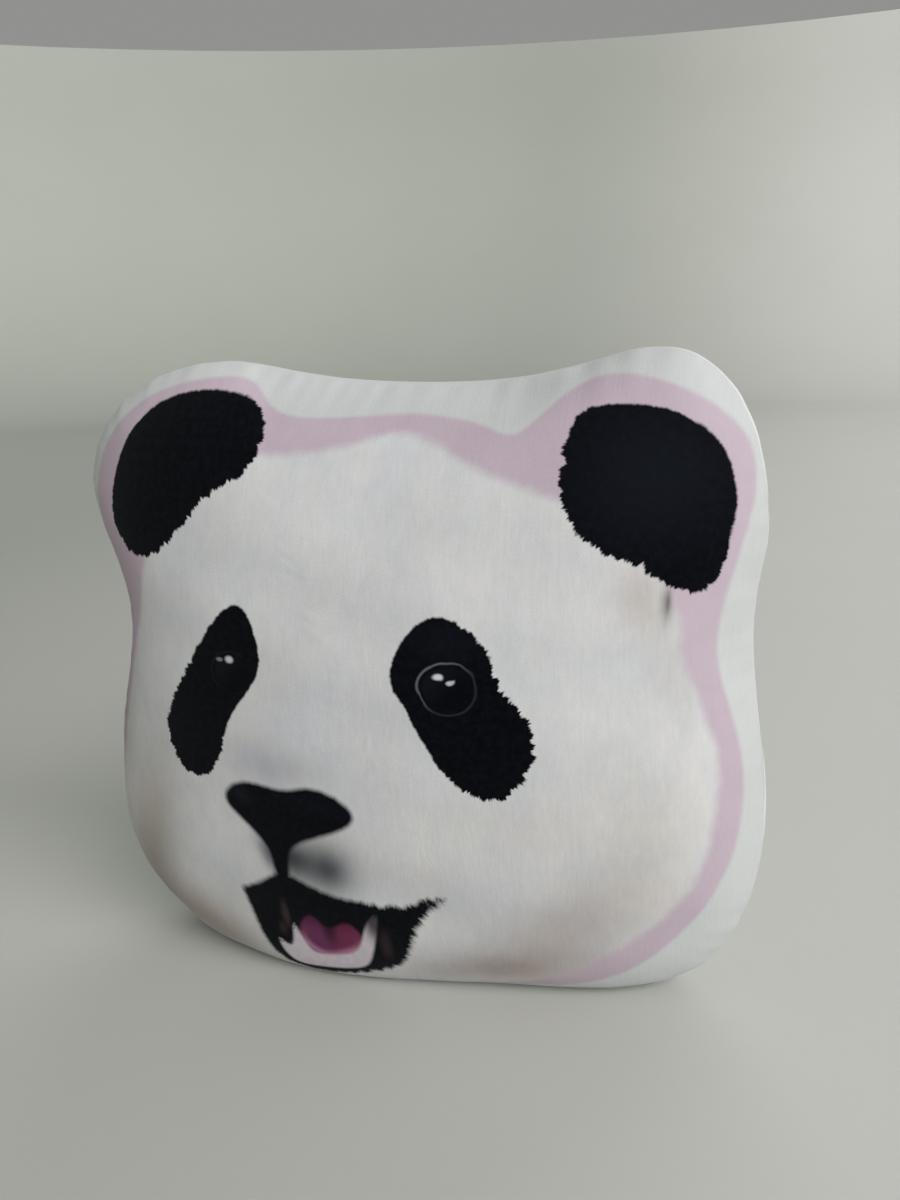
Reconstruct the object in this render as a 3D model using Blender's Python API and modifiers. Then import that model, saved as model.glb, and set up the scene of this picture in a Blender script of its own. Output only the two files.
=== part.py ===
"""A stuffed cushion shaped like a panda's head: two plush panels sewn face to face, turned and filled.

Metres, +Z up. The cushion stands upright on the flattened bottom of its rim with the printed face
towards -Y. The seam lies in the plane Y = 0, and the origin is on the floor under the middle of the
cushion. A place on a panel is given by its plan, the (x, z) that it has in the seam plane before the
bottom is pressed flat.
"""

import bmesh
import bpy
import numpy as np

MM = 0.001

# The sewn outline as (x, z) in millimetres, anticlockwise from the right cheek as seen from the front.
# Points below z = 0 belong to the part of the rim that the floor presses flat.
OUTLINE = (
    (150, 80), (144, 155), (148, 205),  # right cheek, neck and outer side of the ear
    (130, 256), (93, 266), (45, 257),  # right ear's corner and top, and the dip beside it
    (-30, 259), (-75, 266), (-125, 253),  # crown, and the left ear's top and corner
    (-150, 212), (-138, 162), (-148, 90), (-134, 32),  # left ear's outer side, neck, cheek and jaw
    (-95, -15), (-45, -31), (20, -27), (80, -13), (130, 16),  # bottom, pressed flat, and right jaw
)
CENTRE = np.array([0.0, 124.0]) * MM  # the fullest point of both panels, in plan
HALF_THICKNESS = 57.0 * MM  # from the seam plane to the outside of a panel at its fullest point
FULLNESS_POWER = 0.70  # 0.5 gives a round rim, 1.0 a sharp one
FLOOR_BLEND = 12.0 * MM  # how far above and below the floor the cloth bends into the flat bottom

CLOTH = 1.2 * MM  # thickness of the short-pile plush
SEAM_GAP = 0.6 * MM  # between the two seam allowances
ALLOWANCE = 8.0 * MM  # width of cloth turned inwards along the seam
THREAD = 0.6 * MM  # diameter of the sewing threads
THREAD_INSET = 4.0 * MM  # from the outline to the line of stitches
CLEARANCE = 0.4 * MM  # kept between pieces that touch on the real cushion

FILL_INSET = 10.5 * MM  # from the outline to the edge of the filling
FILL_BOTTOM = 9.0 * MM  # the filling stays above the upright allowances at the bottom
FILL_CLEARANCE = 1.2 * MM  # between the filling and the inside of the panels

TURNING_GAP = (0.625, 0.695)  # where the hand-sewn opening lies, as a share of the way round
LADDER_PITCH = 3.2 * MM  # from one hand stitch to the next
LADDER_REACH = 0.9 * MM  # how far a hand stitch goes to each side of the seam plane

LABEL_AT = 0.595  # middle of the label, as a share of the way round
LABEL_WIDTH = 20.0 * MM
LABEL_LENGTH = 28.0 * MM
LABEL_THICKNESS = 0.5 * MM  # a folded ribbon, both layers pressed together

RAYS = 72  # directions round the centre in each loft
FINE = 288  # points of the outline used for measuring distances
DOME_RINGS = (0.10, 0.26, 0.42, 0.57, 0.70, 0.81, 0.90, 0.96)  # shares of the way to the outline

COLOURS = {
    "front_panel": (0.66, 0.69, 0.69),
    "back_panel": (0.68, 0.70, 0.70),
    "fibre_fill": (0.85, 0.85, 0.84),
    "seam_needle_thread": (0.78, 0.78, 0.76),
    "seam_bobbin_thread": (0.78, 0.78, 0.76),
    "closing_thread": (0.80, 0.80, 0.78),
    "care_label": (0.87, 0.87, 0.86),
}


def clear_scene():
    for item in list(bpy.data.objects):
        bpy.data.objects.remove(item, do_unlink=True)


def closed_spline(shares):
    """Points at these shares of the way round the smooth closed curve through OUTLINE."""
    knots = np.array(OUTLINE, float) * MM
    n = len(knots)
    after, before = np.roll(knots, -1, axis=0), np.roll(knots, 1, axis=0)
    # The curve's bend at each knot, from the usual equations of a periodic cubic spline.
    ring = 4 * np.eye(n) + np.roll(np.eye(n), 1, axis=0) + np.roll(np.eye(n), -1, axis=0)
    bend = np.linalg.solve(ring, 6 * (after - 2 * knots + before))
    place = (np.asarray(shares) % 1.0) * n
    i = np.floor(place).astype(int) % n
    j = (i + 1) % n
    u = (place - np.floor(place))[:, None]
    v = 1 - u
    curve = v * knots[i] + u * knots[j]
    return curve + (v**3 - v) * bend[i] / 6 + (u**3 - u) * bend[j] / 6


def mean_distance(plan, rim):
    """A smooth distance from points in plan to the rim: the mean value weight's inverse."""
    to_rim = rim[None] - plan[:, None]
    length = np.linalg.norm(to_rim, axis=2)
    angle = np.arctan2(to_rim[..., 1], to_rim[..., 0])
    step = np.diff(angle, axis=1, append=angle[:, :1])
    step = (step + np.pi) % (2 * np.pi) - np.pi
    tangent = np.tan(step / 2)
    return 2 * np.pi / ((tangent + np.roll(tangent, 1, axis=1)) / length).sum(axis=1)


RIM = closed_spline(np.arange(FINE) / FINE)
DEEPEST = mean_distance(CENTRE[None], RIM)[0]


def fullness(plan):
    """How far a panel's outside stands from the seam plane at points in plan inside the rim."""
    return HALF_THICKNESS * (mean_distance(plan, RIM) / DEEPEST) ** FULLNESS_POWER


def flattened(z):
    """Heights after the floor has pressed the bottom flat."""
    blend = (z + FLOOR_BLEND) ** 2 / (4 * FLOOR_BLEND)
    return np.where(z > FLOOR_BLEND, z, np.where(z < -FLOOR_BLEND, 0.0, blend))


def pressed_outline(shares, inset=0.0):
    """The sewn outline after the bottom is pressed flat, moved inwards by inset in the seam plane."""
    shares = np.asarray(shares)
    place, ahead, behind = (closed_spline(shares + step) for step in (0.0, 0.002, -0.002))
    for points in (place, ahead, behind):
        points[:, 1] = flattened(points[:, 1])
    tangent = ahead - behind
    tangent /= np.linalg.norm(tangent, axis=1)[:, None]
    return place - np.stack([tangent[:, 1], -tangent[:, 0]], axis=1) * inset


def panel_point(plan, side, lift=0.0):
    """Points on a panel's outside, or off it by lift along its normal. side is -1 at the front."""
    reach = 0.2 * MM
    height = fullness(plan)
    slope = [(fullness(plan + step) - fullness(plan - step)) / (2 * reach)
             for step in (np.array([reach, 0.0]), np.array([0.0, reach]))]
    length = np.sqrt(1 + slope[0] ** 2 + slope[1] ** 2)
    x = plan[:, 0] - slope[0] / length * lift
    z = plan[:, 1] - slope[1] / length * lift
    y = height + SEAM_GAP / 2 + lift / length
    return np.stack([x, side * y, flattened(z)], axis=1)


def ring_at(plan, y):
    return np.stack([plan[:, 0], np.full(len(plan), y), plan[:, 1]], axis=1)


def loft(name, rings, first_pole, last_pole=None, flip=False):
    """A mesh object through rings of points, closed at a pole, and at a second one if it is given."""
    mesh = bmesh.new()
    rows = [[mesh.verts.new(point) for point in ring] for ring in rings]
    count = len(rows[0])
    for near, far in zip(rows, rows[1:]):
        for j in range(count):
            k = (j + 1) % count
            mesh.faces.new((near[j], far[j], far[k], near[k]))
    for row, pole, turn in ((rows[0], first_pole, 1), (rows[-1], last_pole, -1)):
        if pole is None:
            continue
        tip = mesh.verts.new(pole)
        for j in range(count):
            mesh.faces.new((tip, row[j], row[(j + 1) % count])[::turn])
    if flip:
        bmesh.ops.reverse_faces(mesh, faces=mesh.faces)
    return add_object(name, mesh)


def add_object(name, mesh):
    data = bpy.data.meshes.new(name)
    mesh.to_mesh(data)
    mesh.free()
    data.shade_smooth()
    item = bpy.data.objects.new(name, data)
    PARTS.objects.link(item)
    return item


def thicken(item, thickness, offset):
    solid = item.modifiers.new("thickness", "SOLIDIFY")
    solid.thickness = thickness
    solid.offset = offset
    solid.use_even_offset = True
    solid.use_quality_normals = True


def dress(item, roughness):
    """Gives a piece its own material."""
    material = bpy.data.materials.new(item.name)
    material.use_nodes = True
    shader = material.node_tree.nodes["Principled BSDF"]
    shader.inputs["Base Color"].default_value = (*COLOURS[item.name], 1.0)
    shader.inputs["Roughness"].default_value = roughness
    shader.inputs["Metallic"].default_value = 0.0
    item.data.materials.append(material)


def make_panel(name, side):
    """One plush panel: the domed outside, the fold at the seam and the allowance turned inwards."""
    shares = np.arange(RAYS) / RAYS
    rim = closed_spline(shares)
    rings = [panel_point(CENTRE + share * (rim - CENTRE), side) for share in DOME_RINGS]
    rings.append(ring_at(pressed_outline(shares), side * SEAM_GAP / 2))
    rings.append(ring_at(pressed_outline(shares, ALLOWANCE / 2), side * SEAM_GAP / 2))
    rings.append(ring_at(pressed_outline(shares, ALLOWANCE), side * SEAM_GAP / 2))
    pole = panel_point(CENTRE[None], side)[0]
    panel = loft(name, rings, pole, flip=side > 0)
    thicken(panel, CLOTH, -1.0)
    dress(panel, 0.95)


def make_fill():
    """The stuffing, which stops short of the seam allowances."""
    shares = np.arange(RAYS) / RAYS
    rim = closed_spline(shares)
    reach = np.linalg.norm(rim - CENTRE, axis=1)
    drop = np.maximum(CENTRE[1] - rim[:, 1], FILL_BOTTOM)
    edge = np.minimum(1 - FILL_INSET / reach, (CENTRE[1] - FILL_BOTTOM) / drop)
    depth = -(CLOTH + FILL_CLEARANCE)
    half = {side: [panel_point(CENTRE + share * edge[:, None] * (rim - CENTRE), side, depth)
                   for share in DOME_RINGS[1:] + (1.0,)] for side in (-1, 1)}
    rings = half[-1] + half[1][::-1]
    poles = [panel_point(CENTRE[None], side, depth)[0] for side in (-1, 1)]
    dress(loft("fibre_fill", rings, poles[0], poles[1]), 1.0)


def make_thread(name, points, closed):
    """A round thread along points, as a closed loop or with capped ends."""
    curve = bpy.data.curves.new(name, "CURVE")
    curve.dimensions = "3D"
    curve.bevel_depth = THREAD / 2
    curve.bevel_resolution = 1
    curve.use_fill_caps = not closed
    spline = curve.splines.new("POLY")
    spline.points.add(len(points) - 1)
    for place, point in zip(spline.points, points):
        place.co = (*point, 1.0)
    spline.use_cyclic_u = closed
    thread = bpy.data.objects.new(name, curve)
    PARTS.objects.link(thread)
    dress(thread, 0.6)


def make_seam_threads():
    """The machine seam's two threads, each on the inner side of its own allowance."""
    line = pressed_outline(np.arange(RAYS) / RAYS, THREAD_INSET)
    away = SEAM_GAP / 2 + CLOTH + CLEARANCE + THREAD / 2
    make_thread("seam_needle_thread", ring_at(line, -away), True)
    make_thread("seam_bobbin_thread", ring_at(line, away), True)


def make_closing_thread():
    """Hand stitches that cross the seam from panel to panel and close the turning gap."""
    start, end = TURNING_GAP
    way = pressed_outline(np.linspace(start, end, 200))
    length = np.linalg.norm(np.diff(way, axis=0), axis=1).sum()
    count = int(length / LADDER_PITCH)
    plan = pressed_outline(np.linspace(start, end, count), -THREAD / 2 - 1.2 * CLEARANCE)
    swing = LADDER_REACH * (-1.0) ** np.arange(count)
    make_thread("closing_thread", np.stack([plan[:, 0], swing, plan[:, 1]], axis=1), False)


def make_label():
    """A blank folded ribbon that leaves the seam and lies back against the rear panel."""
    across = np.linspace(-0.5, 0.5, 5) * LABEL_WIDTH
    lift = CLEARANCE + LABEL_THICKNESS
    rim = pressed_outline([LABEL_AT])[0]
    out = (pressed_outline([LABEL_AT], -MM)[0] - rim) / MM
    along = np.array([-out[1], out[0]])
    rows = []
    for offset in across:
        start = rim + along * offset
        row = [(start[0] + out[0] * lift, SEAM_GAP / 2, start[1] + out[1] * lift)]
        inset = np.linspace(1.5 * MM, LABEL_LENGTH * 0.72, 9)[:, None]
        row += list(panel_point(start - out * inset, 1, lift))
        rows.append(row)
    mesh = bmesh.new()
    grid = [[mesh.verts.new(point) for point in row] for row in rows]
    for left, right in zip(grid, grid[1:]):
        for k in range(len(left) - 1):
            mesh.faces.new((left[k], left[k + 1], right[k + 1], right[k]))
    label = add_object("care_label", mesh)
    thicken(label, LABEL_THICKNESS, 0.0)
    dress(label, 0.7)


clear_scene()
PARTS = bpy.data.collections.new("panda_head_cushion")
bpy.context.scene.collection.children.link(PARTS)
make_panel("front_panel", -1)
make_panel("back_panel", 1)
make_fill()
make_seam_threads()
make_closing_thread()
make_label()
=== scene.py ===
"""Looks of a stuffed cushion shaped and printed like a panda's head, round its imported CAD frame.

Metres and +Z up, in the frame's own axes: the printed face looks towards -Y and the seam lies in the
plane Y = 0. A place on a panel is given by its plan, the (x, z) that it has in the seam plane before
the bottom is pressed flat. The print is drawn in plan millimetres.
"""

import math

import bpy
import numpy as np
from mathutils import Matrix, Vector
from mathutils.bvhtree import BVHTree


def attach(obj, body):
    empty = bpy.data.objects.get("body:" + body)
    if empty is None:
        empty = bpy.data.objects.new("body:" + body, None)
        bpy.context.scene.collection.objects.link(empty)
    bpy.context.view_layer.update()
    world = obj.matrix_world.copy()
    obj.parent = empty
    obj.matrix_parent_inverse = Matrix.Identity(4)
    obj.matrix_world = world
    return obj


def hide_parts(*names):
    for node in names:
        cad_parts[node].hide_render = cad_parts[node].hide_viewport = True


MM = 0.001
BODY = "root"

# ---------------------------------------------------------------- shape, as the CAD part has it

OUTLINE = (
    (150, 80), (144, 155), (148, 205),  # right cheek, neck and outer side of the ear
    (130, 256), (93, 266), (45, 257),  # right ear's corner and top, and the dip beside it
    (-30, 259), (-75, 266), (-125, 253),  # crown, and the left ear's top and corner
    (-150, 212), (-138, 162), (-148, 90), (-134, 32),  # left ear's outer side, neck, cheek and jaw
    (-95, -15), (-45, -31), (20, -27), (80, -13), (130, 16),  # bottom, pressed flat, and right jaw
)
CENTRE = np.array([0.0, 124.0]) * MM
HALF_THICKNESS = 57.0 * MM
FULLNESS_POWER = 0.70
FLOOR_BLEND = 12.0 * MM
CLOTH = 1.2 * MM
SEAM_GAP = 0.6 * MM
ALLOWANCE = 8.0 * MM
THREAD = 0.6 * MM
TURNING_GAP = (0.625, 0.695)
LADDER_PITCH = 3.2 * MM
LABEL_AT = 0.595
LABEL_WIDTH = 20.0 * MM
LABEL_LENGTH = 20.0 * MM  # of the folded ribbon that shows

# ---------------------------------------------------------------- how finely the looks are made

FINE = 288  # points of an outline used for measuring distances
INNER_RINGS = 18  # even rings of the cage, from the middle out to the first rim distance
RIM_DISTANCES = (15.0, 10.5, 6.6, 3.8, 1.8, 0.6)  # millimetres from the outline to the cage's outer rings
SUBDIVISIONS = 2
SEAM_DIP = 1.3 * MM  # how far the seam lies below the swell on each side of it

SWELL_FRAMES = 20  # length of the cloth simulation
SWELL_LIMIT = 3.0 * MM  # the farthest that the cloth simulation may move a point
PUCKER = 0.22 * MM  # height of the small gathers along the seam
PUCKER_REACH = 9.0 * MM  # how far the gathers run in from the seam
GATHERS = (46, 118)  # fewest and most waves that the gathers have, all the way round
LUMP = 0.5 * MM  # height of the soft unevenness of the stuffing
LUMP_LENGTHS = (34, 80)  # shortest and longest wave of that unevenness, in millimetres
FLOOR_MARGIN = 6.0 * MM  # height over which both fade out towards the floor
# Where the filling has sunk and pushes the cloth out: place and sizes in plan, and how far.
SETTLED = (
    (-32, 12, 56, 25, 3.2 * MM),  # chin
    (-120, 46, 30, 32, 6.0 * MM),  # left jaw
)

# ---------------------------------------------------------------- the print, in plan millimetres

LEFT_EAR = (
    (-78, 254), (-57, 251), (-48, 238), (-52, 223), (-70, 212), (-88, 195), (-109, 187), (-123, 206),
    (-114, 236), (-98, 250),
)
RIGHT_EAR = (
    (88, 246), (112, 244), (131, 229), (135, 203), (126, 180), (106, 187), (82, 202), (75, 222), (78, 240),
)
LEFT_PATCH = (
    (-53, 171), (-45, 158), (-46, 142), (-60, 123), (-69, 102), (-84, 97), (-95, 112), (-86, 134),
    (-68, 160),
)
RIGHT_PATCH = (
    (33, 171), (48, 160), (55, 145), (64, 133), (65, 115), (53, 101), (38, 106), (27, 119), (17, 137),
    (13, 149), (19, 163),
)
NOSE = (
    (-66, 90), (-55, 97), (-37, 96), (-22, 98), (-6, 89), (-18, 79), (-34, 71), (-38, 61), (-40, 51),
    (-45, 57), (-49, 69), (-62, 81),
)
MOUTH = (  # the upper lip's line, then the lower edge back to where it started
    ((-65, 45), (-53, 51), (-41, 57), (-24, 51), (2, 47), (16, 50), (29, 56)),
    ((29, 56), (17, 41), (11, 28), (3, 16), (-14, 9), (-36, 4), (-51, 10), (-59, 24), (-65, 45)),
)
JAW = (  # the lower teeth and gum
    (-50, 22), (-46, 11), (-33, 9), (-15, 12), (-6, 22), (-1, 42), (-7, 36), (-13, 23), (-26, 18),
    (-36, 21), (-41, 32), (-44, 20),
)
TONGUE = (
    (-37, 33), (-31, 38), (-24, 33), (-15, 37), (-9, 28), (-17, 20), (-29, 17), (-38, 24),
)
FACE = (  # the white fur, inside the pink band
    (-45, 229), (-12, 232), (14, 237), (48, 222), (92, 205), (115, 176), (120, 150), (131, 115),
    (125, 66), (95, 32), (40, 2), (-30, -8), (-90, 2), (-128, 46), (-135, 98), (-112, 158), (-100, 190),
    (-72, 220),
)
BAND = (  # outer edge of the pink band
    (-60, 258), (-38, 245), (8, 245), (42, 240), (58, 237), (76, 253), (102, 256), (131, 242),
    (142, 212), (132, 165), (139, 120), (136, 66), (100, 21), (50, 2), (-15, -12), (-75, -8),
    (-122, 26), (-139, 85), (-132, 150), (-138, 212), (-114, 248), (-85, 258),
)

# Each black shape, how ragged its fur edge is at most, the direction in which it is that ragged, and how
# soft its edge is in millimetres.
BLACK_SHAPES = (
    (LEFT_EAR, 1.1, (0.55, -0.83), 0.6), (RIGHT_EAR, 1.1, (-0.7, -0.7), 0.6),
    (LEFT_PATCH, 1.0, (-0.97, -0.2), 0.6), (RIGHT_PATCH, 1.4, (0.97, -0.2), 0.6),
    (NOSE, 0.15, (0.0, 1.0), 1.5), (MOUTH, 1.2, (0.75, -0.6), 1.7),
)

# Each eye: the ball's place and sizes, the ring's place and sizes and how bright the ring is, and its
# highlights as places beside the ball's middle, sizes and brightness.
RIGHT_EYE = ((34, 144, 9.6, 8.4), (34.5, 144, 11.4, 10, 0.48),
             ((-2.8, 4.2, 2.4, 1.7, 0.95), (1.7, 2.0, 1.7, 1.1, 0.75)))
LEFT_EYE = ((-57.5, 143.5, 9, 7.4), (-57.5, 143.5, 10, 8.4, 0.03),
            ((-0.8, 5.2, 2.4, 1.8, 0.85), (-5.6, 4.8, 2.0, 1.0, 0.28)))


def closed_curve(points, shares):
    """Points at these shares of the way round the smooth closed curve through points."""
    knots = np.array(points, float)
    n = len(knots)
    after, before = np.roll(knots, -1, axis=0), np.roll(knots, 1, axis=0)
    # The curve's bend at each knot, from the usual equations of a periodic cubic spline.
    ring = 4 * np.eye(n) + np.roll(np.eye(n), 1, axis=0) + np.roll(np.eye(n), -1, axis=0)
    bend = np.linalg.solve(ring, 6 * (after - 2 * knots + before))
    place = (np.asarray(shares) % 1.0) * n
    i = np.floor(place).astype(int) % n
    j = (i + 1) % n
    u = (place - np.floor(place))[:, None]
    v = 1 - u
    curve = v * knots[i] + u * knots[j]
    return curve + (v**3 - v) * bend[i] / 6 + (u**3 - u) * bend[j] / 6


def open_curve(points, count):
    """Count points along the smooth curve that starts and ends at the first and last point."""
    knots = np.array(points, float)
    n = len(knots)
    rows = np.zeros((n, n))
    pull = np.zeros((n, 2))
    rows[0, 0] = rows[-1, -1] = 1.0
    for k in range(1, n - 1):
        rows[k, k - 1:k + 2] = (1, 4, 1)
        pull[k] = 6 * (knots[k + 1] - 2 * knots[k] + knots[k - 1])
    bend = np.linalg.solve(rows, pull)
    place = np.linspace(0, n - 1, count)
    i = np.minimum(place.astype(int), n - 2)
    u = (place - i)[:, None]
    v = 1 - u
    curve = v * knots[i] + u * knots[i + 1]
    return curve + (v**3 - v) * bend[i] / 6 + (u**3 - u) * bend[i + 1] / 6


def outline_points(shares):
    return closed_curve(OUTLINE, shares) * MM


def mean_distance(plan, rim):
    """A smooth distance from points in plan to the rim: the mean value weight's inverse."""
    result = []
    for part in np.array_split(plan, max(1, len(plan) // 2000)):
        to_rim = rim[None] - part[:, None]
        length = np.linalg.norm(to_rim, axis=2)
        angle = np.arctan2(to_rim[..., 1], to_rim[..., 0])
        step = np.diff(angle, axis=1, append=angle[:, :1])
        step = (step + np.pi) % (2 * np.pi) - np.pi
        tangent = np.tan(step / 2)
        weights = (tangent + np.roll(tangent, 1, axis=1)) / length
        result.append(2 * np.pi / weights.sum(axis=1))
    return np.concatenate(result)


RIM = outline_points(np.arange(FINE) / FINE)
DEEPEST = mean_distance(CENTRE[None], RIM)[0]


def fullness(plan):
    """How far a panel's outside stands from the seam plane at points in plan inside the rim."""
    return HALF_THICKNESS * (mean_distance(plan, RIM) / DEEPEST) ** FULLNESS_POWER


def flattened(z):
    """Heights after the floor has pressed the bottom flat."""
    blend = (z + FLOOR_BLEND) ** 2 / (4 * FLOOR_BLEND)
    return np.where(z > FLOOR_BLEND, z, np.where(z < -FLOOR_BLEND, 0.0, blend))


def pressed_outline(shares, inset=0.0):
    """The sewn outline after the bottom is pressed flat, moved inwards by inset in the seam plane."""
    shares = np.asarray(shares)
    place, ahead, behind = (outline_points(shares + step) for step in (0.0, 0.002, -0.002))
    for points in (place, ahead, behind):
        points[:, 1] = flattened(points[:, 1])
    tangent = ahead - behind
    tangent /= np.linalg.norm(tangent, axis=1)[:, None]
    return place - np.stack([tangent[:, 1], -tangent[:, 0]], axis=1) * inset


def signed_distance(points, outline):
    """For each point, its distance inside a closed outline and the nearest place on the outline."""
    ends = np.roll(outline, -1, axis=0)
    run = ends - outline
    depth, nearest = [], []
    for part in np.array_split(points, max(1, len(points) // 3000)):
        away = part[:, None] - outline[None]
        along = np.clip((away * run).sum(2) / (run**2).sum(1), 0, 1)
        foot = outline[None] + along[..., None] * run[None]
        gap = np.linalg.norm(part[:, None] - foot, axis=2)
        best = gap.argmin(axis=1)
        rows = np.arange(len(part))
        above = (outline[None, :, 1] > part[:, 1:]) != (ends[None, :, 1] > part[:, 1:])
        rise = np.where(run[:, 1] == 0, 1e-12, run[:, 1])
        crossing = outline[:, 0] + (part[:, 1:] - outline[:, 1]) * run[:, 0] / rise
        inside = (above & (crossing > part[:, :1])).sum(axis=1) % 2 == 1
        depth.append(np.where(inside, 1, -1) * gap[rows, best])
        nearest.append(foot[rows, best])
    return np.concatenate(depth), np.concatenate(nearest)


# ---------------------------------------------------------------- cage and simulation


def cage_shares():
    """Ring shares of the cage from the middle to the seam, as shares of the way to the outline."""
    reach = np.linalg.norm(RIM - CENTRE, axis=1).mean() / MM
    rim = [1 - distance / reach for distance in RIM_DISTANCES]
    inner = np.linspace(0, rim[0], INNER_RINGS + 1)
    return np.array([*inner, *rim[1:], 1.0])


SHARES = cage_shares()
RINGS = len(SHARES) - 1


def square_grid():
    """Ring number and share of the way round for each point of a square grid wrapped on the head."""
    i, j = np.meshgrid(np.arange(-RINGS, RINGS + 1), np.arange(-RINGS, RINGS + 1), indexing="ij")
    ring = np.maximum(abs(i), abs(j))
    sides = [i == ring, j == ring, i == -ring, j == -ring]
    steps = np.select(sides, [j % np.maximum(8 * ring, 1), 2 * ring - i, 4 * ring - j, 6 * ring + i])
    return ring.ravel(), (steps / np.maximum(8 * ring, 1)).ravel()


def cage_points(side):
    """Plan and place of every grid point of one panel's cage. side is -1 at the front."""
    ring, share = square_grid()
    plan = CENTRE + SHARES[ring][:, None] * (outline_points(share) - CENTRE)
    inside = ring < RINGS
    place = np.empty((len(plan), 3))
    height = np.zeros(len(plan))
    height[inside] = fullness(plan[inside])
    place[:, 0] = plan[:, 0]
    place[:, 1] = side * (height + SEAM_GAP / 2)
    place[:, 2] = flattened(plan[:, 1])
    seam = pressed_outline(share[~inside], SEAM_DIP)
    place[~inside, 0] = seam[:, 0]
    place[~inside, 2] = seam[:, 1]
    return plan, place


def grid_faces(side):
    """Quads of the square grid, wound so that they face away from the seam plane."""
    count = 2 * RINGS + 1
    i, j = np.meshgrid(np.arange(count - 1), np.arange(count - 1), indexing="ij")
    near = (i * count + j).ravel()
    faces = np.stack([near, near + count, near + count + 1, near + 1], axis=1)
    return faces if side < 0 else faces[:, ::-1]


def make_object(name, points, faces):
    data = bpy.data.meshes.new(name)
    data.from_pydata([tuple(p) for p in points], [], [tuple(int(v) for v in f) for f in faces])
    data.validate()
    data.shade_smooth()
    item = bpy.data.objects.new(name, data)
    bpy.context.scene.collection.objects.link(item)
    return item


def mesh_points(item):
    flat = np.empty(len(item.data.vertices) * 3)
    item.data.vertices.foreach_get("co", flat)
    return flat.reshape(-1, 3)


def set_mesh_points(item, points):
    item.data.vertices.foreach_set("co", np.asarray(points, float).ravel())
    item.data.update()


def mesh_normals(item):
    flat = np.empty(len(item.data.vertices) * 3)
    item.data.vertices.foreach_get("normal", flat)
    return flat.reshape(-1, 3)


def apply_modifiers(item):
    """Replaces an object's mesh by the one that its modifiers make of it."""
    graph = bpy.context.evaluated_depsgraph_get()
    made = bpy.data.meshes.new_from_object(item.evaluated_get(graph), depsgraph=graph)
    item.modifiers.clear()
    item.data = made
    made.shade_smooth()


def evened(values):
    """Values on the square grid, each averaged with its neighbours; the outermost ring stays."""
    side = 2 * RINGS + 1
    grid = values.reshape(side, side, 3)
    mean = grid.copy()
    near = grid[:-2, 1:-1] + grid[2:, 1:-1] + grid[1:-1, :-2] + grid[1:-1, 2:]
    mean[1:-1, 1:-1] = grid[1:-1, 1:-1] / 2 + near / 8
    return mean.reshape(-1, 3)


def swell(front, back):
    """How the stuffing's pressure moves the cage's points, from a short cloth simulation."""
    ring, _ = square_grid()
    count = len(front)
    seam = ring == RINGS
    shell = np.concatenate([front, back[~seam]])
    shell[np.flatnonzero(seam), 1] = 0.0
    index = np.arange(count)
    index[~seam] = count + np.arange((~seam).sum())
    faces = np.concatenate([grid_faces(-1), index[grid_faces(1)]])
    bag = make_object("bag", shell, faces)
    held = bag.vertex_groups.new(name="held")
    on_floor = shell[:, 2] < 2.0 * MM
    on_seam = np.zeros(len(shell), bool)
    on_seam[:count] = seam
    held.add([int(v) for v in np.flatnonzero(on_floor | on_seam)], 1.0, "REPLACE")
    cloth = bag.modifiers.new("cloth", "CLOTH")
    cloth.settings.quality = 6
    cloth.settings.mass = 0.3
    cloth.settings.tension_stiffness = 15
    cloth.settings.compression_stiffness = 15
    cloth.settings.shear_stiffness = 8
    cloth.settings.bending_stiffness = 1.5
    cloth.settings.use_pressure = True
    cloth.settings.uniform_pressure_force = 4
    cloth.settings.shrink_min = -0.015
    cloth.settings.effector_weights.gravity = 0
    cloth.settings.vertex_group_mass = "held"
    cloth.collision_settings.use_collision = False
    for step in range(1, SWELL_FRAMES + 1):
        bpy.context.scene.frame_set(step)
    graph = bpy.context.evaluated_depsgraph_get()
    moved = bag.evaluated_get(graph).to_mesh()
    flat = np.empty(len(shell) * 3)
    moved.vertices.foreach_get("co", flat)
    shift = flat.reshape(-1, 3) - shell
    for _ in range(3):
        shift[:count] = evened(shift[:count])
        shift[index] = evened(shift[index])
    size = np.linalg.norm(shift, axis=1)
    shift *= (np.tanh(size / SWELL_LIMIT) * SWELL_LIMIT / np.maximum(size, 1e-9))[:, None]
    bpy.data.objects.remove(bag, do_unlink=True)
    bpy.context.scene.frame_set(1)
    back_shift = shift[index]
    back_shift[seam] = 0.0
    return shift[:count], back_shift


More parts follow.
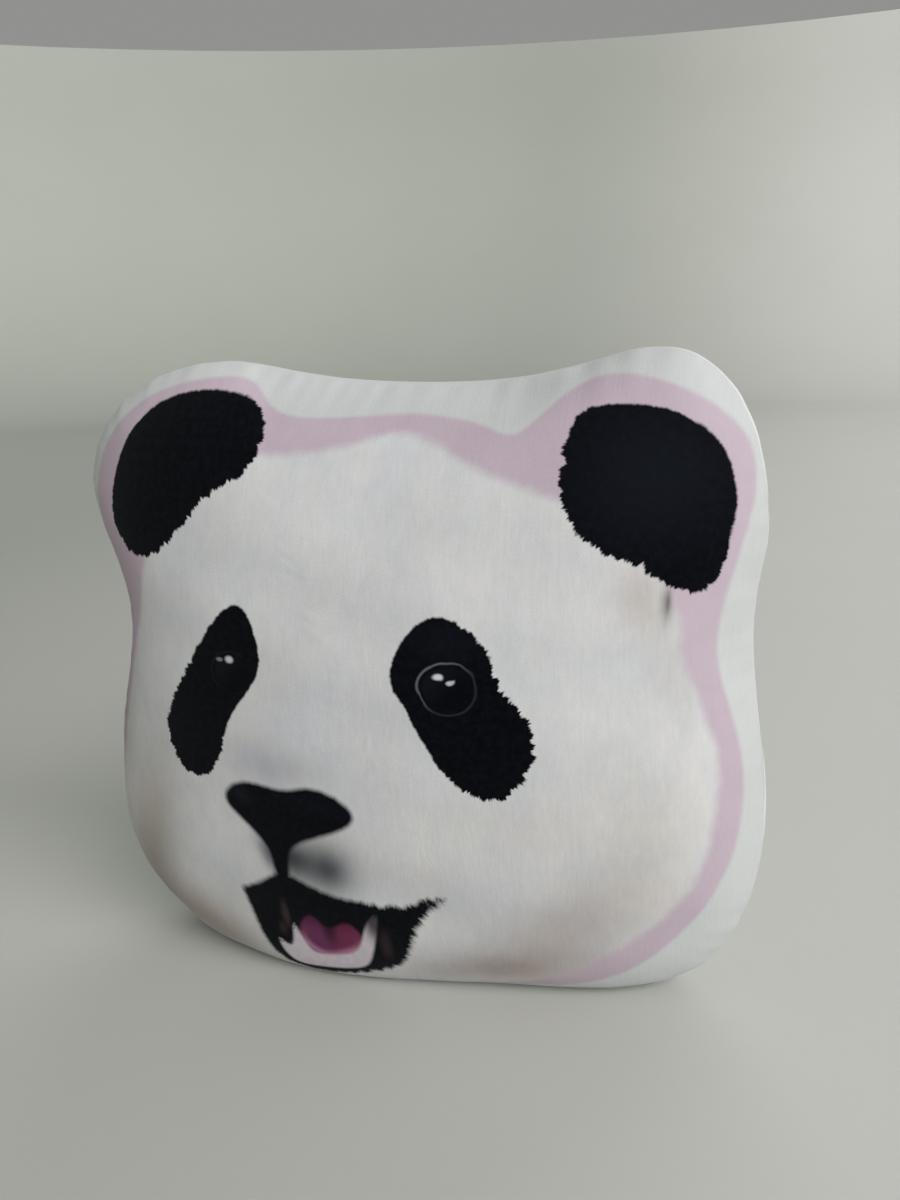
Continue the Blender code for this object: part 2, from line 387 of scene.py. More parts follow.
def make_panel(name, side, shift):
    """One panel: domed grid, fold at the seam and the allowance turned inwards."""
    plan, place = cage_points(side)
    place = place + shift
    place[:, 2] = np.maximum(place[:, 2], 0.0)
    ring, share = square_grid()
    edge = np.flatnonzero(ring == RINGS)
    edge = edge[np.argsort(share[edge])]
    points, plans, faces = [place], [plan], [grid_faces(side)]
    previous = edge
    start = len(place)
    for inset in (SEAM_DIP + 3 * MM, ALLOWANCE):
        turned = pressed_outline(share[edge], inset)
        row = np.stack([turned[:, 0], np.full(len(edge), side * SEAM_GAP / 2), turned[:, 1]], axis=1)
        new = start + np.arange(len(edge))
        quads = np.stack([previous, new, np.roll(new, -1), np.roll(previous, -1)], axis=1)
        faces.append(quads[:, ::-1] if side < 0 else quads)
        points.append(row)
        plans.append(plan[edge])
        previous = new
        start += len(edge)
    panel = make_object(name, np.concatenate(points), np.concatenate(faces))
    stored = panel.data.attributes.new("plan", "FLOAT_VECTOR", "POINT")
    whole = np.concatenate(plans) / MM
    values = np.zeros((len(whole), 3))
    values[:, 0], values[:, 2] = whole[:, 0], whole[:, 1]
    stored.data.foreach_set("vector", values.ravel())
    smooth = panel.modifiers.new("smooth", "SUBSURF")
    smooth.levels = smooth.render_levels = SUBDIVISIONS
    apply_modifiers(panel)
    settle(panel)
    return panel


def plan_of(panel):
    """Plan millimetres of every point of a panel."""
    flat = np.empty(len(panel.data.vertices) * 3)
    panel.data.attributes["plan"].data.foreach_get("vector", flat)
    return flat.reshape(-1, 3)[:, [0, 2]]


def waves(places, rng, lengths, count=14):
    """A smooth random field from a sum of sines, about -1 to 1, at places in the plane."""
    total = np.zeros(len(places))
    for _ in range(count):
        angle = rng.uniform(0, 2 * np.pi)
        length = rng.uniform(*lengths)
        direction = np.array([np.cos(angle), np.sin(angle)]) * 2 * np.pi / length
        total += np.sin(places @ direction + rng.uniform(0, 2 * np.pi))
    return total / np.sqrt(count)


def settle(panel):
    """Small gathers along the seam, a soft unevenness of the stuffing, and where it has sunk."""
    rng = np.random.default_rng(11)
    plan = plan_of(panel)
    depth, foot = signed_distance(plan, RIM / MM)
    around = np.arctan2(foot[:, 1] - CENTRE[1] / MM, foot[:, 0])
    gathers = np.zeros(len(plan))
    for _ in range(16):
        gathers += np.sin(int(rng.integers(*GATHERS)) * around + rng.uniform(0, 2 * np.pi))
    gathers /= 4
    depth_mm = np.maximum(depth, 0)
    reach = PUCKER_REACH / MM
    near_seam = np.exp(-depth_mm / reach) * (1 - np.exp(-((depth_mm / 1.2) ** 2)))
    lumps = waves(plan, rng, LUMP_LENGTHS) * np.clip(depth_mm / 25, 0, 1)
    move = PUCKER * gathers * near_seam + LUMP * lumps
    points = mesh_points(panel)
    move *= np.clip(points[:, 2] / FLOOR_MARGIN, 0, 1)
    for x, z, across, along, far in SETTLED:
        move += far * blob(plan, x, z, across, along) * np.clip(depth_mm / 12, 0, 1)
    points += mesh_normals(panel) * move[:, None]
    points[:, 2] = np.maximum(points[:, 2], 0.0)
    set_mesh_points(panel, points)


def thicken(item, thickness, offset=-1.0):
    solid = item.modifiers.new("thickness", "SOLIDIFY")
    solid.thickness = thickness
    solid.offset = offset
    solid.use_even_offset = True
    apply_modifiers(item)


# ---------------------------------------------------------------- what the print needs to know


def closed_shape(points, count=160):
    return closed_curve(points, np.arange(count) / count)


def cornered_shape(stretches, count=90):
    return np.concatenate([open_curve(points, count)[:-1] for points in stretches])


def blob(plan, x, z, across, along, turn=0.0):
    """A soft round spot, 1 in its middle, with its own sizes in millimetres and a turn in degrees."""
    away = plan - np.array([x, z])
    c, s = math.cos(math.radians(turn)), math.sin(math.radians(turn))
    u = (away[:, 0] * c + away[:, 1] * s) / across
    v = (away[:, 1] * c - away[:, 0] * s) / along
    return np.exp(-(u**2 + v**2))


# Soft shading printed on the fur, and painted shade along the left edge, which is turned away from the
# lamp:
# place, sizes and turn in plan, the colour that it multiplies by, and how strongly.
SHADES = (
    (76, 43, 34, 18, 30, (0.62, 0.53, 0.48), 0.64),  # tan under the right cheek
    (50, 20, 36, 11, 8, (0.50, 0.37, 0.34), 0.66),  # darker tan towards the chin
    (106, 84, 16, 34, 0, (0.90, 0.86, 0.81), 0.70),  # cream on the right cheek
    (68, 88, 17, 16, 0, (0.90, 0.85, 0.84), 0.50),
    (104, 178, 9, 13, 20, (0.74, 0.66, 0.60), 0.62),  # at the root of the right ear
    (116, 150, 9, 22, 15, (0.86, 0.81, 0.77), 0.55),
    (-113, 52, 16, 46, -14, (0.46, 0.38, 0.29), 0.70),  # tan of the left cheek
    (-88, 20, 30, 16, -30, (0.50, 0.40, 0.33), 0.80),
    # painted shade: the left edge, turned away from the lamp, darkened over a printed tan
    (-137, 118, 14, 62, 0, (0.60, 0.54, 0.46), 0.50),
    (-32, 64, 10, 10, 0, (0.12, 0.125, 0.145), 0.80),  # grey beside the groove of the lip
    (-20, 62, 12, 13, 0, (0.10, 0.11, 0.135), 0.95),
    (-37, 65, 6, 8, 0, (0.05, 0.05, 0.07), 0.80),
    (-48, 65, 4, 9, 28, (0.12, 0.13, 0.16), 0.80),
    (-41, 106, 20, 9, -4, (0.62, 0.62, 0.68), 0.60),  # above the nose
    (-20, 122, 28, 26, 0, (0.89, 0.90, 0.95), 0.55),  # bridge of the nose
    (25, 64, 16, 10, 20, (0.96, 0.93, 0.93), 0.40),
    (113.3, 177, 1.8, 7.5, -6, (0.10, 0.08, 0.08), 0.85),  # dark lock under the right ear
)

# Painted sheen and highlights, where the black fur is a little lighter, most on the right ear that faces
# the lamp: place, sizes and turn in plan, and how much.
PAINTED_SHEENS = (
    (106, 222, 30, 26, 0, 0.75),
    (-58, 91, 5, 3, -30, 0.9),
    (-22, 91, 12, 3, -6, 0.3),
    (35, 162, 14, 8, 0, 0.4),
)

# Faint brown places in the black of the open mouth: place, sizes and strength.
MOUTH_GLOWS = (
    (-44.0, 36.0, 2.4, 8.5, 0.55), (-47.0, 28.0, 2.2, 4.0, 0.35), (1.0, 28.0, 3.2, 9.0, 0.30),
)

# Ellipses in the mouth, as place and sizes: the shade on the top of the tongue, the groove along it, and
# the shadow that the right tooth fades into.
TONGUE_TOP = (-24.0, 42.0, 22.0, 10.0)
TONGUE_GROOVE = (-24.0, 33.0, 4.0, 10.0)
TOOTH_SHADOW = (-2.0, 42.0, 9.0, 19.0)

# Painted shade: on the left side, turned away from the lamp, the shading darkens the pink band and border
# too.
FAR_LEFT = (-96.0, -124.0)  # where the shading starts to reach the pink band and border, and does fully


def add_value(mesh, name, values):
    mesh.attributes.new(name, "FLOAT", "POINT").data.foreach_set("value", np.asarray(values, np.float32))


def add_vector(mesh, name, values):
    flat = np.zeros((len(values), 3), np.float32)
    flat[:, 0], flat[:, 2] = values[:, 0], values[:, 1]
    mesh.attributes.new(name, "FLOAT_VECTOR", "POINT").data.foreach_set("vector", flat.ravel())


def lay_out_print(panel):
    """Stores on the front panel how far each point lies inside each printed shape."""
    plan = plan_of(panel)
    mesh = panel.data
    ink = np.full(len(plan), -1e3)
    edge = plan.copy()
    rough = np.zeros(len(plan))
    soft = np.ones(len(plan))
    for shape, longest, direction, softness in BLACK_SHAPES:
        outline = cornered_shape(shape) if isinstance(shape[0][0], tuple) else closed_shape(shape, 200)
        depth, foot = signed_distance(plan, outline)
        here = depth > ink
        outwards = foot[here] - outline.mean(axis=0)
        outwards /= np.maximum(np.linalg.norm(outwards, axis=1), 1e-6)[:, None]
        ink[here] = depth[here]
        edge[here] = foot[here]
        rough[here] = longest * (0.2 + 0.8 * np.clip(outwards @ np.array(direction) + 0.45, 0, 1))
        soft[here] = softness
    add_value(mesh, "ink", ink)
    add_vector(mesh, "ink_edge", edge)
    add_value(mesh, "ragged", rough)
    add_value(mesh, "soft", soft)
    for name, points in (("jaw", JAW), ("tongue", TONGUE), ("face", FACE), ("band", BAND)):
        add_value(mesh, name, signed_distance(plan, closed_shape(points))[0])
    # printed shading, with the painted shade of the left edge
    shade = np.ones((len(plan), 4), np.float32)
    for x, z, across, along, turn, colour, strength in SHADES:
        weight = (blob(plan, x, z, across, along, turn) * strength)[:, None]
        shade[:, :3] *= 1 - weight + weight * np.array(colour)
    mesh.attributes.new("shade", "FLOAT_COLOR", "POINT").data.foreach_set("color", shade.ravel())
    # painted sheen on the black fur, kept for the shader
    painted_sheen = sum(blob(plan, *place) * strength for *place, strength in PAINTED_SHEENS)
    add_value(mesh, "painted_sheen", painted_sheen)


# ---------------------------------------------------------------- materials


def linear(red, green, blue):
    """A colour given in screen values from 0 to 255, as the shader wants it."""
    def one(value):
        value /= 255
        return value / 12.92 if value <= 0.04045 else ((value + 0.055) / 1.055) ** 2.4
    return (one(red), one(green), one(blue), 1.0)


class Nodes:
    """Short names for the nodes of one material."""

    def __init__(self, name):
        self.material = bpy.data.materials.new(name)
        self.material.use_nodes = True
        self.tree = self.material.node_tree
        self.shader = self.tree.nodes["Principled BSDF"]

    def add(self, kind, inputs=(), output=0, **settings):
        node = self.tree.nodes.new(kind)
        for key, value in settings.items():
            setattr(node, key, value)
        for key, value in dict(inputs).items():
            self.put(node.inputs[key], value)
        return node.outputs[output]

    def put(self, socket, value):
        if isinstance(value, bpy.types.NodeSocket):
            self.tree.links.new(value, socket)
        else:
            socket.default_value = value

    def value(self, name):
        return self.add("ShaderNodeAttribute", output="Fac", attribute_name=name)

    def vector(self, name):
        return self.add("ShaderNodeAttribute", output="Vector", attribute_name=name)

    def colour(self, name):
        return self.add("ShaderNodeAttribute", output="Color", attribute_name=name)

    def math(self, operation, *values, clamp=False):
        return self.add("ShaderNodeMath", dict(enumerate(values)), operation=operation, use_clamp=clamp)

    def vector_math(self, operation, *values, output=0):
        return self.add("ShaderNodeVectorMath", dict(enumerate(values)), output, operation=operation)

    def mix(self, share, first, second, blend="MIX"):
        inputs = {0: share, 6: first, 7: second}
        return self.add("ShaderNodeMix", inputs, 2, data_type="RGBA", blend_type=blend)

    def noise(self, place, scale, detail=2.0, roughness=0.5):
        inputs = {"Vector": place, "Scale": scale, "Detail": detail, "Roughness": roughness}
        return self.add("ShaderNodeTexNoise", inputs, "Fac")

    def step(self, value, low, high):
        """0 below low, 1 above high and smooth in between."""
        inputs = {"Value": value, "From Min": low, "From Max": high}
        return self.add("ShaderNodeMapRange", inputs, 0, interpolation_type="SMOOTHSTEP")

    def spread(self, value, low, high):
        """Takes a value from 0..1 to low..high."""
        return self.add("ShaderNodeMapRange", {"Value": value, "To Min": low, "To Max": high}, 0)

    def scaled(self, place, x, y, z):
        return self.vector_math("MULTIPLY", place, (x, y, z))

    def bump(self, height, strength, distance, normal=None):
        inputs = {"Height": height, "Strength": strength, "Distance": distance}
        if normal is not None:
            inputs["Normal"] = normal
        return self.add("ShaderNodeBump", inputs, "Normal")


def plush_surface(nodes, place, colour):
    """Short even pile: a fine grain with faint upright streaks, and the soft sheen of its tips."""
    grain = nodes.noise(place, 1.1, 3.0, 0.6)
    streaks = nodes.noise(nodes.scaled(place, 1.0, 1.0, 0.16), 0.75, 2.0, 0.5)
    brushed = nodes.noise(nodes.scaled(place, 1.0, 1.0, 0.5), 0.045, 3.0, 0.55)
    depth = nodes.math("ADD", nodes.math("MULTIPLY", grain, 0.6), nodes.math("MULTIPLY", streaks, 0.4))
    tone = nodes.math("ADD", nodes.spread(depth, 0.90, 1.06), nodes.spread(brushed, -0.035, 0.035))
    nodes.put(nodes.shader.inputs["Base Color"], nodes.mix(1.0, colour, tone, "MULTIPLY"))
    nodes.put(nodes.shader.inputs["Roughness"], nodes.spread(grain, 0.86, 0.98))
    nodes.put(nodes.shader.inputs["Normal"], nodes.bump(depth, 0.35, 0.5 * MM))
    nodes.shader.inputs["Specular IOR Level"].default_value = 0.03
    nodes.shader.inputs["Sheen Weight"].default_value = 0.04
    nodes.shader.inputs["Sheen Roughness"].default_value = 0.55
    nodes.shader.inputs["Sheen Tint"].default_value = (0.93, 0.96, 1.0, 1.0)


def ellipse(nodes, place, x, z, across, along):
    """Distance from the middle of an ellipse, 1 on its line."""
    centred = nodes.vector_math("SUBTRACT", place, (x, 0.0, z))
    return nodes.vector_math("LENGTH", nodes.scaled(centred, 1 / across, 0.0, 1 / along), output="Value")


def draw_eye(nodes, place, colour, ball, ring, highlights):
    """A dark eyeball that shines, with a fine ring of light round it and two highlights."""
    x, z, across, along = ball
    on_ball = nodes.step(ellipse(nodes, place, x, z, across, along), 1.0, 0.82)
    height = nodes.vector_math("DOT_PRODUCT", nodes.vector_math("SUBTRACT", place, (x, 0.0, z)),
                               (-0.07, 0.0, 0.07), output="Value")
    upper = nodes.step(height, -0.5, 0.9)
    colour = nodes.mix(on_ball, colour, nodes.mix(upper, linear(5, 6, 11), linear(17, 19, 28)))
    x_ring, z_ring, across_ring, along_ring, brightness = ring
    away = ellipse(nodes, place, x_ring, z_ring, across_ring, along_ring)
    line = nodes.step(nodes.math("ABSOLUTE", nodes.math("SUBTRACT", away, 1.0)), 0.075, 0.0)
    light = nodes.math("MULTIPLY", line, nodes.spread(upper, brightness * 0.16, brightness))
    colour = nodes.mix(light, colour, linear(132, 138, 148))
    for dx, dz, width, length, strength in highlights:
        spot = nodes.step(ellipse(nodes, place, x + dx, z + dz, width, length), 1.15, 0.4)
        colour = nodes.mix(nodes.math("MULTIPLY", spot, strength), colour, linear(214, 218, 222))
    return colour


def printed_plush():
    """The printed front: white border, pink band, white fur with soft shading and the black features, with
    painted shade on its left side and painted sheen on the black fur.
    """
    nodes = Nodes("printed_plush")
    place = nodes.vector("plan")
    cloudy = nodes.noise(place, 0.03, 4.0, 0.6)
    fur = nodes.mix(nodes.step(cloudy, 0.3, 0.7), linear(211, 213, 217), linear(220, 219, 219))
    locks = nodes.noise(nodes.scaled(place, 1.0, 1.0, 0.55), 0.13, 5.0, 0.68)
    fur = nodes.mix(1.0, fur, nodes.spread(locks, 0.90, 1.09), "MULTIPLY")
    hairs = nodes.noise(nodes.scaled(place, 1.0, 1.0, 0.22), 0.55, 4.0, 0.65)
    fur = nodes.mix(1.0, fur, nodes.spread(hairs, 0.92, 1.06), "MULTIPLY")
    fur = nodes.mix(1.0, fur, nodes.colour("shade"), "MULTIPLY")

    wander = nodes.noise(place, 0.09, 3.0, 0.55)
    shift = nodes.spread(wander, -2.2, 2.2)
    blotch = nodes.noise(place, 0.06, 3.0, 0.6)
    pink = nodes.mix(blotch, linear(192, 175, 187), linear(201, 186, 199))
    across = nodes.add("ShaderNodeSeparateXYZ", {0: place}, "X")
    # painted shade: the pink band and border darkened on the left side, as it is turned away from the lamp
    far_left = nodes.step(across, *FAR_LEFT)
    left_tan_and_painted_shade = nodes.mix(far_left, (1.0, 1.0, 1.0, 1.0), nodes.colour("shade"))
    on_face = nodes.step(nodes.math("ADD", nodes.value("face"), shift), -2.6, 2.6)
    colour = nodes.mix(on_face, nodes.mix(1.0, pink, left_tan_and_painted_shade, "MULTIPLY"), fur)
    on_band = nodes.step(nodes.value("band"), -1.1, 1.4)
    border = nodes.mix(1.0, linear(206, 209, 209), left_tan_and_painted_shade, "MULTIPLY")
    colour = nodes.mix(on_band, border, colour)

    # Tufts: the edge of the black fur moves in and out with noise read along the edge.
    leaning = nodes.mix(0.25, nodes.vector("ink_edge"), place)
    tufts = nodes.noise(leaning, 0.30, 2.0, 0.5)
    hair_tips = nodes.noise(leaning, 0.95, 2.0, 0.6)
    reach = nodes.math("ADD", nodes.spread(tufts, -2.4, 3.0), nodes.spread(hair_tips, -1.6, 1.8))
    reach = nodes.math("MULTIPLY", reach, nodes.value("ragged"))
    depth = nodes.math("ADD", nodes.value("ink"), reach)
    on_ink = nodes.step(nodes.math("DIVIDE", depth, nodes.value("soft")), -1.0, 1.0)
    coat = nodes.noise(place, 0.35, 4.0, 0.7)
    ink = nodes.mix(nodes.step(coat, 0.35, 0.75), linear(3, 4, 8), linear(13, 15, 22))
    # painted sheen: the black fur made lighter where it faces the lamp
    ink = nodes.mix(nodes.math("MULTIPLY", nodes.value("painted_sheen"), 0.7), ink, linear(27, 31, 40))
    colour = nodes.mix(on_ink, colour, ink)

    # Inside of the mouth: faint brown places in the black, the tongue, then the lower teeth and gum.
    for *spot, strength in MOUTH_GLOWS:
        glow = nodes.step(ellipse(nodes, place, *spot), 1.3, 0.2)
        colour = nodes.mix(nodes.math("MULTIPLY", glow, strength), colour, linear(78, 62, 64))
    tongue = nodes.mix(nodes.step(across, -30.0, -18.0), linear(106, 54, 88), linear(116, 50, 82))
    height = nodes.add("ShaderNodeSeparateXYZ", {0: place}, "Z")
    near_edge = nodes.step(nodes.value("tongue"), 4.5, 0.6)
    rim = nodes.math("MULTIPLY", near_edge, nodes.step(height, 31.0, 22.0))
    tongue = nodes.mix(rim, tongue, linear(180, 124, 156))
    top = nodes.step(ellipse(nodes, place, *TONGUE_TOP), 1.25, 0.5)
    tongue = nodes.mix(nodes.math("MULTIPLY", top, 0.75), tongue, linear(74, 26, 56))
    groove = nodes.step(ellipse(nodes, place, *TONGUE_GROOVE), 1.3, 0.2)
    tongue = nodes.mix(nodes.math("MULTIPLY", groove, 0.8), tongue, linear(50, 18, 42))
    colour = nodes.mix(nodes.step(nodes.value("tongue"), -1.2, 1.3), colour, tongue)
    gum_shade = nodes.noise(place, 0.25, 2.0)
    gum = nodes.mix(gum_shade, linear(200, 186, 196), linear(220, 215, 221))
    right_tooth = nodes.step(ellipse(nodes, place, *TOOTH_SHADOW), 1.0, 0.25)
    gum = nodes.mix(nodes.math("MULTIPLY", right_tooth, 0.92), gum, linear(40, 30, 38))
    colour = nodes.mix(nodes.step(nodes.value("jaw"), -1.0, 1.1), colour, gum)

    colour = draw_eye(nodes, place, colour, *RIGHT_EYE)
    colour = draw_eye(nodes, place, colour, *LEFT_EYE)
    plush_surface(nodes, place, colour)
    return nodes.material


def plain_plush():
    """Unprinted white plush of the back."""
    nodes = Nodes("plain_plush")
    place = nodes.vector("plan")
    cloudy = nodes.noise(place, 0.02, 4.0, 0.6)
    plush_surface(nodes, place, nodes.mix(cloudy, linear(217, 221, 220), linear(227, 230, 229)))
    return nodes.material


def sewing_thread():
    """Twisted polyester thread."""
    nodes = Nodes("sewing_thread")
    place = nodes.scaled(nodes.add("ShaderNodeTexCoord", output="Object"), 1000, 1000, 1000)
    twist = nodes.add("ShaderNodeTexWave", {"Vector": place, "Scale": 1.1, "Distortion": 2.0}, "Fac",
                      wave_type="BANDS", bands_direction="DIAGONAL")
    fuzz = nodes.noise(place, 2.5, 2.0)
    tone = nodes.mix(twist, linear(186, 188, 184), linear(226, 227, 222))
    nodes.put(nodes.shader.inputs["Base Color"],
              nodes.mix(1.0, tone, nodes.spread(fuzz, 0.88, 1.06), "MULTIPLY"))
    nodes.put(nodes.shader.inputs["Roughness"], nodes.spread(fuzz, 0.45, 0.65))
    nodes.put(nodes.shader.inputs["Normal"], nodes.bump(twist, 0.5, 0.15 * MM))
    return nodes.material


def fibre():
    """Loose crimped polyester filling."""
    nodes = Nodes("polyester_fibre")
    place = nodes.scaled(nodes.add("ShaderNodeTexCoord", output="Object"), 1000, 1000, 1000)
    tufts = nodes.noise(place, 0.08, 6.0, 0.7)
    strands = nodes.noise(nodes.scaled(place, 0.2, 1.0, 1.0), 0.5, 4.0, 0.7)
    tone = nodes.mix(tufts, linear(214, 214, 210), linear(240, 240, 238))
    nodes.put(nodes.shader.inputs["Base Color"],
              nodes.mix(1.0, tone, nodes.spread(strands, 0.86, 1.05), "MULTIPLY"))
    nodes.shader.inputs["Roughness"].default_value = 0.9
    nodes.shader.inputs["Sheen Weight"].default_value = 0.3
    nodes.put(nodes.shader.inputs["Normal"], nodes.bump(strands, 0.6, 1.5 * MM))
    return nodes.material


def woven_ribbon():
    """Satin label ribbon with fine weft ribs and firmer selvedges."""
    nodes = Nodes("label_ribbon")
    place = nodes.vector("ribbon")
    ribs = nodes.add("ShaderNodeTexWave", {"Vector": place, "Scale": 0.9, "Distortion": 0.4}, "Fac",
                     wave_type="BANDS", bands_direction="Z")
    across = nodes.add("ShaderNodeSeparateXYZ", {0: place}, "X")
    edge = nodes.step(nodes.math("ABSOLUTE", across), 8.6, 9.3)
    warp = nodes.noise(nodes.scaled(place, 3.0, 1.0, 0.2), 1.0, 2.0)
    tone = nodes.mix(edge, linear(226, 227, 224), linear(208, 209, 206))
    tone = nodes.mix(1.0, tone, nodes.spread(warp, 0.92, 1.04), "MULTIPLY")
    nodes.put(nodes.shader.inputs["Base Color"],
              nodes.mix(1.0, tone, nodes.spread(ribs, 0.93, 1.03), "MULTIPLY"))
    nodes.put(nodes.shader.inputs["Roughness"], nodes.spread(ribs, 0.32, 0.5))
    nodes.shader.inputs["Sheen Weight"].default_value = 0.2
    height = nodes.math("ADD", nodes.math("MULTIPLY", ribs, 0.6), edge)
    nodes.put(nodes.shader.inputs["Normal"], nodes.bump(height, 0.4, 0.2 * MM))
    return nodes.material


def studio_paper():
    """Matte backdrop paper with painted light: darker to the left and paler to the right, as though lit
    from the right.
    """
    nodes = Nodes("studio_paper")
    place = nodes.add("ShaderNodeTexCoord", output="Object")
    mottle = nodes.noise(place, 3.0, 3.0)
    across = nodes.add("ShaderNodeSeparateXYZ", {0: place}, "X")
    # painted light: the paper darkens to the left and pales to the right
    paper = nodes.mix(nodes.step(across, -1.0, 0.8), linear(160, 163, 156), linear(222, 223, 218))
    nodes.put(nodes.shader.inputs["Base Color"],
              nodes.mix(1.0, paper, nodes.spread(mottle, 0.97, 1.03), "MULTIPLY"))
    nodes.shader.inputs["Roughness"].default_value = 0.85
    nodes.shader.inputs["Specular IOR Level"].default_value = 0.1
    return nodes.material


def dress(item, material):
    item.data.materials.clear()
    item.data.materials.append(material)


# ---------------------------------------------------------------- small pieces


def make_closing_stitches(material):
    """Ladder stitches pulled snug across the seam, with their runs sunk in the cloth between.

    Each stitch is a row of steps, as a share of its reach across the seam and millimetres sunk in it.
    """
    start, end = TURNING_GAP
    way = pressed_outline(np.linspace(start, end, 200))
    length = np.linalg.norm(np.diff(way, axis=0), axis=1).sum()
    count = int(length / LADDER_PITCH)
    rng = np.random.default_rng(5)
    steps = ((-1.0, 2.4), (-0.9, 0.9), (-0.35, 0.1), (0.35, 0.1), (0.9, 0.9), (1.0, 2.4))
    points = []
    side = 1.0
    for share in np.linspace(start, end, count):
        slant = rng.uniform(0.00008, 0.0003)
        reach = rng.uniform(1.3, 1.8) * MM
        for across, sunk in steps:
            place = pressed_outline([share + slant * across], sunk * MM)[0]
            points.append((place[0], side * across * reach, place[1]))
        side = -side
    curve = bpy.data.curves.new("closing_stitches", "CURVE")
    curve.dimensions = "3D"
    curve.bevel_depth = THREAD / 2
    curve.bevel_resolution = 3
    curve.use_fill_caps = True
    spline = curve.splines.new("POLY")
    spline.points.add(len(points) - 1)
    for place, point in zip(spline.points, points):
        place.co = (*point, 1.0)
    drawn = bpy.data.objects.new("closing_stitches_line", curve)
    bpy.context.scene.collection.objects.link(drawn)
    graph = bpy.context.evaluated_depsgraph_get()
    mesh = bpy.data.meshes.new_from_object(drawn.evaluated_get(graph), depsgraph=graph)
    bpy.data.objects.remove(drawn, do_unlink=True)
    mesh.shade_smooth()
    stitches = bpy.data.objects.new("closing_stitches", mesh)
    bpy.context.scene.collection.objects.link(stitches)
    dress(stitches, material)
    return stitches


def make_ribbon(back, material):
    """A blank folded ribbon that leaves the seam and lies on the back, its fold a little raised."""
    graph = bpy.context.evaluated_depsgraph_get()
    tree = BVHTree.FromObject(back, graph)
    rim = pressed_outline([LABEL_AT])[0]
    out = (pressed_outline([LABEL_AT], -MM)[0] - rim) / MM
    along = np.array([-out[1], out[0]])
    tip = LABEL_LENGTH / MM - 1
    layer = 0.45  # millimetres: the lower layer's height above the cloth, and the fold's radius
    turn = 6.0  # how far in from the rim the lines of sight turn that find the cloth, in millimetres
    round_lip = [(turn, angle) for angle in np.linspace(6, 84, 12)]
    flat = [(inset, 90) for inset in np.linspace(turn + 0.5, tip, 12)]
    way = round_lip + flat
    layers = [(inset, angle, layer) for inset, angle in way]
    layers += [(tip + layer * math.sin(a), 90, 2 * layer - layer * math.cos(a))
               for a in np.linspace(0.3, 2.8, 6)]
    layers += [(inset, angle, layer + 2 * layer * min(1.0, angle / 60)) for inset, angle in reversed(way)]
    rows = []
    for offset in np.linspace(-0.5, 0.5, 25) * LABEL_WIDTH:
        start = rim + along * offset
        row = []
        for inset, angle, lift in layers:
            across = math.cos(math.radians(angle))
            from_seam = math.sin(math.radians(angle))
            middle = start - out * inset * MM
            sight = Vector((out[0] * across, from_seam, out[1] * across))
            centre = Vector((middle[0], 0.0, middle[1]))
            base, normal = tree.ray_cast(centre + sight * 2 * HALF_THICKNESS, -sight)[:2]
            reached = inset if angle == 90 else turn * (1 - across)
            raised = lift + 1.6 * (reached * MM / LABEL_LENGTH) ** 3
            row.append(base + normal * raised * MM)
        rows.append(row)
    points = [tuple(point) for row in rows for point in row]
    length = len(rows[0])
    faces = []
    for i in range(len(rows) - 1):
        for k in range(length - 1):
            near = i * length + k
            faces.append((near, near + 1, near + length + 1, near + length))
    ribbon = make_object("folded_ribbon", points, faces)
    layout = ribbon.data.attributes.new("ribbon", "FLOAT_VECTOR", "POINT")
    values = [(offset, 0.0, k * 0.9) for offset in np.linspace(-10, 10, len(rows)) for k in range(length)]
    layout.data.foreach_set("vector", np.array(values, np.float32).ravel())
    thicken(ribbon, 0.25 * MM, 0.0)
    dress(ribbon, material)
    return ribbon


# ---------------------------------------------------------------- camera, floor and light


CAMERA_ANGLES = (21, 18, -2)  # degrees to the right of the face, above it, and turned about the view
CAMERA_DISTANCE = 0.5
CAMERA_AIM = (0.018, 0.0, 0.164)
CAMERA_LENS = 34.3  # millimetres, on a 36 mm sensor

# Each lamp: name, strength, colour and the direction in which it shines.
LAMPS = (
    ("window", 3.35, (1.0, 0.992, 0.985), (-1.32, 0.88, -0.70)),
    ("far_window", 1.0, (0.99, 0.995, 1.0), (-0.10, -1.0, -0.50)),
)
LAMP_SPREAD = 50  # degrees; broad lamps throw soft shadows
AIR_COLOUR = (0.985, 0.985, 0.955, 1.0)
AIR_STRENGTH = 0.29


def make_camera():
    """A viewpoint a little to the right of the face and above it."""
    turn, rise, roll = (math.radians(angle) for angle in CAMERA_ANGLES)
    middle = Vector((CENTRE[0], 0.0, CENTRE[1]))
    away = Vector((math.sin(turn) * math.cos(rise), -math.cos(turn) * math.cos(rise), math.sin(rise)))
    place = middle + away * CAMERA_DISTANCE
    forward = (Vector(CAMERA_AIM) - place).normalized()
    right = forward.cross(Vector((0, 0, 1))).normalized()
    up = right.cross(forward)
    c, s = math.cos(roll), math.sin(roll)
    right, up = right * c + up * s, up * c - right * s
    data = bpy.data.cameras.new("camera")
    data.sensor_width = 36.0
    data.lens = CAMERA_LENS
    camera = bpy.data.objects.new("camera", data)
    bpy.context.scene.collection.objects.link(camera)
    axes = Matrix((right, up, -forward)).transposed()
    camera.matrix_world = Matrix.Translation(place) @ axes.to_4x4()
    bpy.context.scene.camera = camera


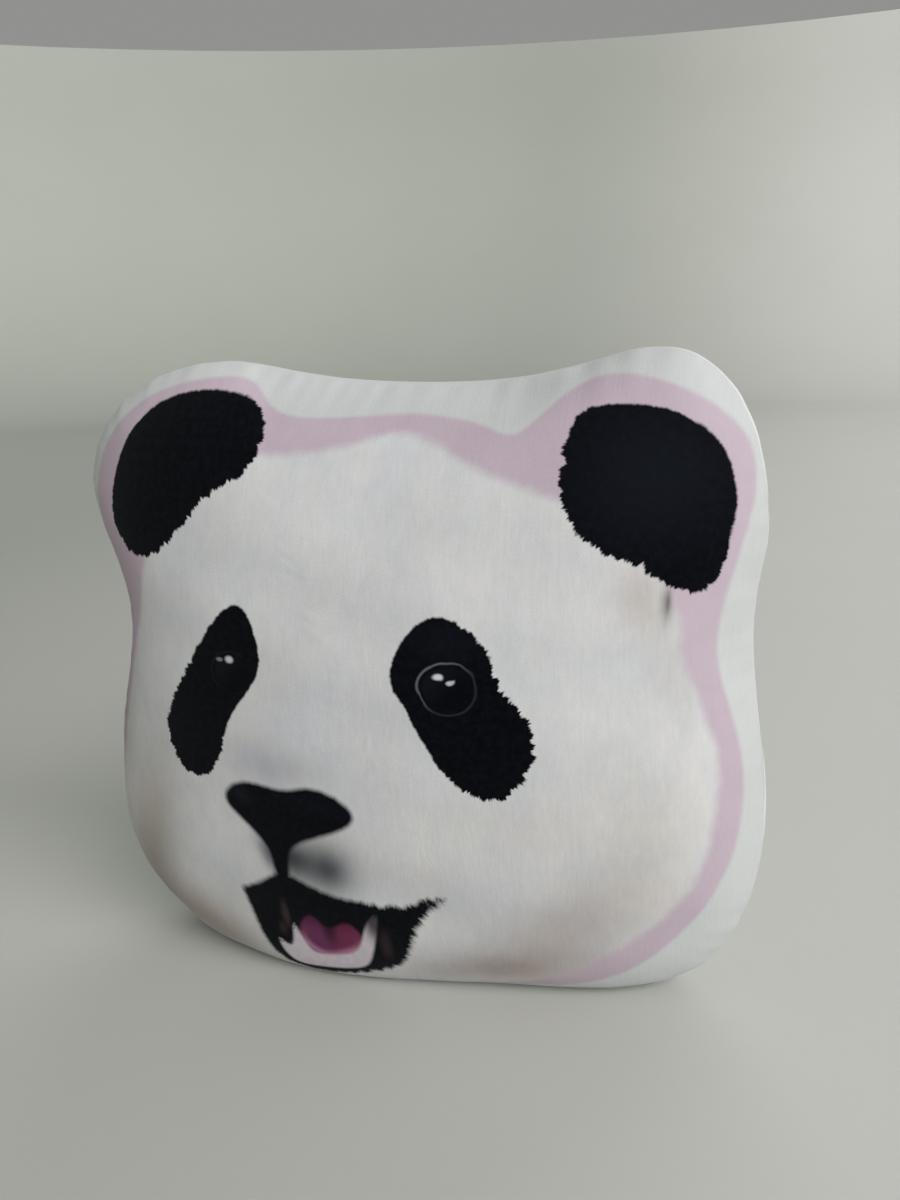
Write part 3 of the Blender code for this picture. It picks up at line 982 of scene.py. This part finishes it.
def make_floor(material):
    """A pale paper floor that curves up into a low wall all round."""
    flat, bend, top = 3.2, 1.1, 1.3  # radii of the flat part and of the curve, and the wall's height
    profile = [(r, 0.0) for r in np.linspace(0.1, flat, 14)]
    profile += [(flat + bend * math.sin(a), bend - bend * math.cos(a))
                for a in np.linspace(0.06, math.pi / 2, 24)]
    profile += [(flat + bend, z) for z in np.linspace(bend, top, 5)[1:]]
    around = 96
    points = [(0.0, 0.0, 0.0)]
    for radius, height in profile:
        for step in range(around):
            angle = 2 * math.pi * step / around
            points.append((radius * math.cos(angle), radius * math.sin(angle), height))
    faces = [(0, 1 + k, 1 + (k + 1) % around) for k in range(around)]
    for ring in range(len(profile) - 1):
        first = 1 + ring * around
        for k in range(around):
            n = (k + 1) % around
            faces.append((first + k, first + around + k, first + around + n, first + n))
    floor = make_object("studio_floor", points, faces)
    dress(floor, material)


def make_lights():
    """A broad lamp from the upper right front, a weak one from behind, and the light of a white room."""
    for name, energy, colour, direction in LAMPS:
        lamp = bpy.data.lights.new(name, "SUN")
        lamp.energy = energy
        lamp.angle = math.radians(LAMP_SPREAD)
        lamp.color = colour
        light = bpy.data.objects.new(name, lamp)
        light.rotation_euler = Vector(direction).to_track_quat("-Z", "Y").to_euler()
        bpy.context.scene.collection.objects.link(light)
    world = bpy.data.worlds.new("studio_air")
    world.use_nodes = True
    air = world.node_tree.nodes["Background"]
    air.inputs["Color"].default_value = AIR_COLOUR
    air.inputs["Strength"].default_value = AIR_STRENGTH
    bpy.context.scene.world = world
    bpy.context.scene.view_settings.view_transform = "Standard"


# ---------------------------------------------------------------- put together

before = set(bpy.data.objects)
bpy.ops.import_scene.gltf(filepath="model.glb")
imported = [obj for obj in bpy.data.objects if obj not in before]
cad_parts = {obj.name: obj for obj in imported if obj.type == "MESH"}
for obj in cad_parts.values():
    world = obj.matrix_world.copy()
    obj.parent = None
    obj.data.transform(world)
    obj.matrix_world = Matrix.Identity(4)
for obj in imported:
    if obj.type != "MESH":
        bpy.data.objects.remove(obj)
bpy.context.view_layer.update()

make_camera()
front_cage = cage_points(-1)[1]
back_cage = cage_points(1)[1]
shifts = swell(front_cage, back_cage)

front = make_panel("printed_front", -1, shifts[0])
lay_out_print(front)
thicken(front, CLOTH)
dress(front, printed_plush())
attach(front, BODY)
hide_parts("front_panel")

back = make_panel("plain_back", 1, shifts[1])
thicken(back, CLOTH)
dress(back, plain_plush())
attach(back, BODY)
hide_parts("back_panel")

thread = sewing_thread()
stitches = make_closing_stitches(thread)
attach(stitches, BODY)
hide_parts("closing_thread")

ribbon = make_ribbon(back, woven_ribbon())
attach(ribbon, BODY)
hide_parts("care_label")

for node in ("seam_needle_thread", "seam_bobbin_thread"):
    dress(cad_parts[node], thread)
dress(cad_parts["fibre_fill"], fibre())

make_floor(studio_paper())
make_lights()
